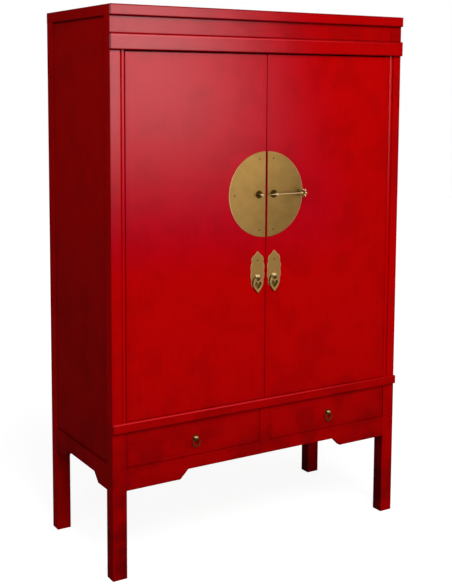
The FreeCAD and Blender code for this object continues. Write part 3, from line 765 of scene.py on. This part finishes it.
# Eye posts
# Turned brass posts with a stepped foot and a ball end, one on each door. The lock pin passes
# through a cross hole in each ball.
ball_radius = 0.007
ball_turns = [math.radians(degrees) for degrees in range(48, 180, 12)]
eye_hole = 0.0034
frontward = (0, -1, 0)
rightward = (1, 0, 0)
eye_profile = [(0, 0), (0.0100, 0), (0.0100, 0.0009), (0.0094, 0.0014), (0.0080, 0.0017),
               (0.0076, 0.0026), (0.0058, 0.0033), (0.0047, 0.0050), (0.0042, 0.0080),
               (0.0043, 0.0105), (0.0052, 0.0120), (0.0054, 0.0127), (0.0050, 0.0134)]


def turned(name, profile, start, direction, segments=48):
    """A closed form turned on an axis, from (radius, distance along the axis) points."""
    form = bmesh.new()
    aim = Vector(direction).to_track_quat("Z", "Y").to_matrix()
    rings = []
    for radius, along in profile:
        turns = [math.tau * n / segments for n in range(segments if radius > 0 else 1)]
        places = [Vector((radius * math.cos(turn), radius * math.sin(turn), along)) for turn in turns]
        rings.append([form.verts.new(Vector(start) + aim @ place) for place in places])
    for lower, upper in zip(rings, rings[1:]):
        for n in range(segments):
            corners = [lower[n % len(lower)], lower[(n + 1) % len(lower)],
                       upper[(n + 1) % len(upper)], upper[n % len(upper)]]
            form.faces.new(list(dict.fromkeys(corners)))
    mesh = bpy.data.meshes.new(name)
    form.to_mesh(mesh)
    form.free()
    return shaded(mesh)


def bar(radius, length):
    """The profile of a plain round bar."""
    return [(0, 0), (radius, 0), (radius, length), (0, length)]


def bored(name, mesh, cutter):
    """The mesh with the cutter taken out of it."""
    body = added(name, mesh)
    tool = added(name + "_cutter", cutter)
    cut = body.modifiers.new("bore", "BOOLEAN")
    cut.object = tool
    result = settled(body)
    body.modifiers.remove(cut)
    bpy.data.objects.remove(body)
    bpy.data.objects.remove(tool)
    return shaded(result)


post_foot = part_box("left_half_disc")[0][1]
hole_reach = ball_radius * 1.5
# Painted shade darkens each eye post from its foot out to the ball, which stays clean.
post_brass = Brass("eye_post_brass", brushing=0.3, roughness=0.22, lustre=0.8,
                   recesses=(("y", post_foot, -0.013, -0.006),))
for side in ("left", "right"):
    x, z = middle_of(side + "_eye_post")
    foot = Vector((x, post_foot, z))
    ball_distance = post_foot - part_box(side + "_eye_post")[0][1] - ball_radius
    ball_curve = [(ball_radius * math.sin(turn), ball_distance - ball_radius * math.cos(turn))
                  for turn in ball_turns]
    outline = eye_profile + ball_curve + [(0, ball_distance + ball_radius)]
    post = turned(side + "_eye", outline, foot, frontward)
    hole = turned("hole", bar(eye_hole, 2 * hole_reach),
                  foot + Vector((-hole_reach, -ball_distance, 0)), rightward, segments=32)
    mesh_piece(side + "_eye", bored(side + "_eye", post, hole), post_brass, "brass",
               side + "_door", side + "_eye_post")


# Lock pin
# A brass rod with a long taper, a collar and a flower head of six round petals. It slides through
# both eyes; here it is drawn back, so that the doors are free.
pin_profile = [(0, 0), (0.0007, 0.0002), (0.0010, 0.0010), (0.0016, 0.0080), (0.0023, 0.0150),
               (0.0027, 0.0195), (0.0028, 0.0230), (0.0028, 0.1305), (0.0035, 0.1315),
               (0.0054, 0.1325), (0.0060, 0.1340), (0.0060, 0.1365), (0.0052, 0.1380),
               (0.0050, 0.1395), (0.0050, 0.1465), (0.0046, 0.1480), (0.0032, 0.1487), (0, 0.1490)]
petal_count = 6
petal_ring = 0.0100
petal_radius = 0.00648
flower_start = 0.139
flower_thickness = 0.008

petal_rule, given, made = rule("flower_petals", Petals="Int", Ring_radius="Float",
                               Petal_size="Vector", Middle="Vector", Finish="Material")
ring = step(petal_rule, "GeometryNodeMeshCircle", Vertices=given.outputs["Petals"],
            Radius=given.outputs["Ring radius"])
upright = step(petal_rule, "GeometryNodeTransform", Geometry=ring.outputs["Mesh"],
               Rotation=(math.radians(90), 0.0, math.radians(90)), Translation=given.outputs["Middle"])
ball = step(petal_rule, "GeometryNodeMeshUVSphere", Segments=28, Rings=18, Radius=1.0)
petal = step(petal_rule, "GeometryNodeTransform", Geometry=ball.outputs["Mesh"],
             Scale=given.outputs["Petal size"])
petals = step(petal_rule, "GeometryNodeInstanceOnPoints", Points=upright.outputs["Geometry"],
              Instance=petal.outputs["Geometry"])
solid = step(petal_rule, "GeometryNodeRealizeInstances", Geometry=petals.outputs["Instances"])
painted = step(petal_rule, "GeometryNodeSetMaterial", Geometry=solid.outputs["Geometry"],
               Material=given.outputs["Finish"])
petal_rule.links.new(painted.outputs["Geometry"], made.inputs["Geometry"])


def joined(name, *meshes):
    """Several closed meshes as one, shaded together."""
    form = bmesh.new()
    for mesh in meshes:
        form.from_mesh(mesh)
    whole = bpy.data.meshes.new(name)
    form.to_mesh(whole)
    form.free()
    return shaded(whole)


pin_brass = Brass("lock_pin_brass", brushing=0.3, roughness=0.22, lustre=0.7)
low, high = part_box("lock_pin")
pin_axis = Vector((low[0], (low[1] + high[1]) / 2, (low[2] + high[2]) / 2))
rod = turned("rod", pin_profile, pin_axis, rightward)
flower_middle = pin_axis + Vector((flower_start + flower_thickness / 2, 0, 0))
flower = grown("flower", bpy.data.meshes.new("flower_seed"), petal_rule, Petals=petal_count,
               Ring_radius=petal_ring, Petal_size=(flower_thickness / 2, petal_radius, petal_radius),
               Middle=flower_middle, Finish=pin_brass.material)
mesh_piece("lock_pin_brass", joined("lock_pin_brass", rod, flower), pin_brass, "brass",
           "lock_pin", "lock_pin")


# Pull plates
# Cusped brass plates behind the door pulls, cut to the same outline up and down, with a point at
# each end. A narrow rim round the raised field is brighter brass, a painted highlight, and painted shadow
# darkens each plate round its drop.
def bowed(start, bulge, finish, count=10):
    """Points on the round arc from start through bulge to finish, without the last."""
    (ax, az), (bx, bz), (cx, cz) = start, bulge, finish
    area = 2 * (ax * (bz - cz) + bx * (cz - az) + cx * (az - bz))
    a_square, b_square, c_square = ax * ax + az * az, bx * bx + bz * bz, cx * cx + cz * cz
    ox = (a_square * (bz - cz) + b_square * (cz - az) + c_square * (az - bz)) / area
    oz = (a_square * (cx - bx) + b_square * (ax - cx) + c_square * (bx - ax)) / area
    radius = math.hypot(ax - ox, az - oz)
    first, through, last = (math.atan2(z - oz, x - ox) for x, z in (start, bulge, finish))
    sweep = (last - first) % math.tau
    if (through - first) % math.tau > sweep:
        sweep -= math.tau
    return [(ox + radius * math.cos(first + sweep * n / count),
             oz + radius * math.sin(first + sweep * n / count)) for n in range(count)]


plate_corners = [(0.0, 1.0), (0.74, 0.72), (0.84, 0.44), (0.92, 0.0)]
plate_bulges = [(0.33, 0.86), (0.87, 0.60), (1.0, 0.22)]
rim_width = 0.0014
rim_step = 0.0001
# Painted shadow on the pull plates behind and round each drop.
drop_film = (0.010, 0.019, 0.55)
film_rise = 0.004
drop_x, drop_z = middle_of("right_pull_pendant")
pull_brass = Brass("pull_plate_brass", age=0.03, shelters=(((drop_x, drop_z + film_rise), *drop_film),))
# The rim is a brighter brass, a painted highlight along the plate's edge.
rim_brass = Brass("pull_rim_brass", lustre=0.5)


def cusped(half_width, half_height):
    """The plate's outline round its middle, x across and z up."""
    quarter = []
    for start, bulge, finish in zip(plate_corners, plate_bulges, plate_corners[1:]):
        quarter += bowed(*[(x * half_width, z * half_height) for x, z in (start, bulge, finish)])
    quarter.append((plate_corners[-1][0] * half_width, 0.0))
    right_edge = quarter + [(x, -z) for x, z in reversed(quarter[:-1])]
    return right_edge + [(-x, z) for x, z in reversed(right_edge[1:-1])]


for side in ("left", "right"):
    low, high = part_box(side + "_pull_plate")
    pull_x, pull_z = middle_of(side + "_pull_plate")
    half_width, half_height = (high[0] - low[0]) / 2, (high[2] - low[2]) / 2
    for part, finish, inset, step_back in (("rim", rim_brass, 0.0, rim_step),
                                           ("field", pull_brass, rim_width, 0.0)):
        outline = [(pull_x + x, pull_z + z)
                   for x, z in cusped(half_width - inset, half_height - 2 * inset)]
        cut_plate = plate(side + "_pull_" + part, [outline], low[1] + step_back,
                          high[1] - low[1] - step_back, soft_rim)
        mesh_piece(side + "_pull_" + part, cut_plate, finish, "brass", side + "_door",
                   side + "_pull_plate")


# Pull bosses
# Cast domes with a turned base ring, fixed through the pull plates. The pendant's hinge pin fills
# a cross hole low in each dome.
boss_profile = [(0, 0), (0.0110, 0), (0.0111, 0.0005), (0.0108, 0.0011), (0.0100, 0.0013),
                (0.0100, 0.0018), (0.0105, 0.0024), (0.0103, 0.0036), (0.0096, 0.0054),
                (0.0083, 0.0071), (0.0064, 0.0086), (0.0042, 0.0095), (0.0020, 0.0099), (0, 0.0100)]
boss_height = middle_of("left_pull_boss")[1]
# Painted shade darkens the lower half of each dome.
boss_brass = Brass("boss_brass", brushing=0.0, roughness=0.42, lustre=1.0,
                   recesses=(("z", boss_height, 0.001, -0.005),))
for side in ("left", "right"):
    x, z = middle_of(side + "_pull_boss")
    foot = Vector((x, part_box(side + "_pull_plate")[0][1], z))
    mesh_piece(side + "_pull_dome", turned(side + "_pull_dome", boss_profile, foot, frontward),
               boss_brass, "brass", side + "_door", side + "_pull_boss")


# Heart pendants
# Cast brass drops with a heart-shaped opening. Two arms hold a pin that turns in the boss, so the
# drop hangs by its own weight and swings up to be gripped.
pendant_half = 0.0215
pendant_length = 0.051
arm_offset = 0.0122
arm_radius = 0.0028
cleft = 0.0085
heart_half = 0.013
heart_top = 0.0115
heart_height = 0.028
dart = 0.0085
hinge_pin = 0.0015
cast_rim = 0.0011
pendant_side = [(0.0, cleft), (arm_offset - arm_radius, 0.0), (arm_offset + arm_radius, 0.0),
                (pendant_half, pendant_length * 0.36), (0.0, pendant_length)]
pendant_bows = [((arm_offset - arm_radius) * 0.86, cleft * 0.5), (arm_offset, -arm_radius),
                (pendant_half * 0.86, pendant_length * 0.18), (pendant_half * 0.66, pendant_length * 0.68)]
heart_side = [(0.0, heart_top + dart), (heart_half * 0.5, heart_top),
              (heart_half * 0.86, heart_top + heart_height * 0.5)]
heart_bows = [(heart_half * 0.34, heart_top + dart * 0.34), (heart_half, heart_top + heart_height * 0.2)]
heart_point = (0.0, heart_top + heart_height)


def both_flanks(corners, bows, point=None):
    """A closed outline from the bowed lines of its right flank, x across and z up."""
    flank = []
    for start, bow, finish in zip(corners, bows, corners[1:]):
        flank += bowed(start, bow, finish, count=14)
    flank.append(corners[-1])
    if point:
        flank.append(point)
    return [(x, -down) for x, down in flank] + [(-x, -down) for x, down in reversed(flank[1:-1])]


cast_brass = Brass("cast_brass", brushing=0.1, roughness=0.26, lustre=0.12)
for side in ("left", "right"):
    low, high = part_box(side + "_pull_pendant")
    hinge = Vector(((low[0] + high[0]) / 2, (low[1] + high[1]) / 2, high[2] - arm_radius))
    rims = [[(hinge[0] + x, hinge[2] + z) for x, z in both_flanks(*shape)]
            for shape in ((pendant_side, pendant_bows), (heart_side, heart_bows, heart_point))]
    drop = plate(side + "_drop", rims, low[1], high[1] - low[1], cast_rim)
    pin = turned("hinge_pin", bar(hinge_pin, 2 * arm_offset), hinge - Vector((arm_offset, 0, 0)),
                 rightward, segments=20)
    mesh_piece(side + "_heart_drop", joined(side + "_heart_drop", drop, pin), cast_brass, "brass",
               side + "_pendant", side + "_pull_pendant")


# Divider and drawer runners
# The short upright between the two drawers is lacquered with the front. The runners behind it are
# plain rebated wood, glued to the inside, and the middle one serves both drawers.
lacquered("drawer_divider", "z", age=0.04)
for name in ("left_drawer_runner", "right_drawer_runner", "centre_drawer_runner"):
    paint(name, boards_deep)


# Drawers
# Two drawers with lacquered fronts on plain boxes of planed wood. Their thin bottoms are held in
# grooves all round.
for side in ("left", "right"):
    lacquered(side + "_drawer_front", "x", age=0.05, edge=-0.05)
    paint(side + "_drawer_sides", boards_deep)
    paint(side + "_drawer_back", boards_along)
    paint(side + "_drawer_bottom", boards_along)


# Drawer pulls
# A brass dome on a thin flange in the middle of each drawer front, with a cast ring that hangs
# through a hole low in the dome.
knob_profile = [(0, 0), (0.0115, 0), (0.0115, 0.0008), (0.0110, 0.0013), (0.0100, 0.0015),
                (0.0092, 0.0018), (0.0094, 0.0028), (0.0093, 0.0045), (0.0086, 0.0066),
                (0.0071, 0.0085), (0.0050, 0.0098), (0.0025, 0.0104), (0, 0.0105)]
knob_hole = 0.0025
knob_land = 0.002
knob_flare = 0.0073
knob_reach = 0.0095
knob_mouth = knob_land + knob_reach
knob_passage = [(0, 0), (knob_flare, 0), (knob_hole, knob_reach),
                (knob_hole, knob_reach + 2 * knob_land), (knob_flare, 2 * knob_mouth), (0, 2 * knob_mouth)]
ring_turns = 72
wire_sides = 20
knob_height = middle_of("left_ring_boss")[1]
knob_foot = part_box("left_drawer_front")[0][1]
# Painted shade darkens the lower part of each knob and its flange against the drawer front.
knob_brass = Brass("knob_brass", age=0.04, brushing=0.0, roughness=0.2, lustre=0.5,
                   recesses=(("z", knob_height, 0.004, -0.002), ("y", knob_foot, -0.0045, -0.0020)))
ring_brass = Brass("ring_brass", age=0.88, brushing=0.1, roughness=0.2)


def hoop(name, centre, radius, wire):
    """A ring of round wire that hangs flat before a drawer front."""
    form = bmesh.new()
    loops = []
    for n in range(ring_turns):
        turn = math.tau * n / ring_turns
        section = [(radius + wire * math.cos(math.tau * m / wire_sides),
                    wire * math.sin(math.tau * m / wire_sides)) for m in range(wire_sides)]
        loops.append([form.verts.new(centre + Vector((out * math.cos(turn), aside, out * math.sin(turn))))
                      for out, aside in section])
    for n, loop in enumerate(loops):
        following = loops[(n + 1) % ring_turns]
        for m in range(wire_sides):
            after = (m + 1) % wire_sides
            form.faces.new((loop[m], loop[after], following[after], following[m]))
    mesh = bpy.data.meshes.new(name)
    form.to_mesh(mesh)
    form.free()
    return shaded(mesh)


for side in ("left", "right"):
    x, z = middle_of(side + "_ring_boss")
    foot = Vector((x, knob_foot, z))
    low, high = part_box(side + "_drawer_ring")
    wire = (high[1] - low[1]) / 2
    hinge = Vector((x, low[1] + wire, high[2] - wire))
    passage = turned("passage", knob_passage, hinge - Vector((knob_mouth, 0, 0)), rightward, segments=40)
    knob = turned(side + "_drawer_knob", knob_profile, foot, frontward)
    mesh_piece(side + "_drawer_knob", bored(side + "_drawer_knob", knob, passage), knob_brass, "brass",
               side + "_drawer", side + "_ring_boss")
    ring = hoop(side + "_hoop", (low + high) / 2, (high[0] - low[0]) / 2 - wire, wire)
    mesh_piece(side + "_hoop", ring, ring_brass, "brass", side + "_ring", side + "_drawer_ring")
